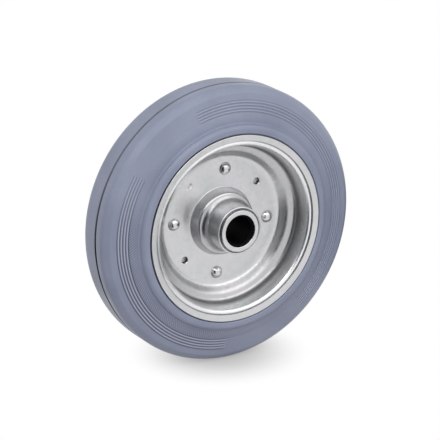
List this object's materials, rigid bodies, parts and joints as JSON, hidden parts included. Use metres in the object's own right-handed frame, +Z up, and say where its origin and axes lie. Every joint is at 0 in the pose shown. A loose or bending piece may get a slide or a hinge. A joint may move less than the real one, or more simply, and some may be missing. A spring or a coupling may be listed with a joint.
{
  "type": "industrial wheel",
  "caption": "Industrial wheel with a solid grey rubber tyre on a riveted pressed steel rim, a hub tube and a plain bore for an axle.",
  "frame": {"origin": "the wheel's centre, on the axle's axis and midway between the hub's end faces", "axes": "+Z up, +Y along the axle; the side with the clearest view in the picture, called the front, faces -Y"},
  "size_m": [0.2, 0.06, 0.2],
  "materials": {
    "rubber": "matt moulded blue-grey",
    "zinc_sheet": "bright zinc-plated pressing",
    "zinc_tube": "bright zinc-plated turned end",
    "rivet": "polished dome",
    "polymer": "black moulded"
  },
  "bodies": {
    "root": {"tyre": "rubber", "rim_front": "zinc_sheet", "rim_back": "zinc_sheet", "hub_tube": "zinc_tube", "bush": "polymer", "rivets": "rivet"}
  },
  "joints": []
}
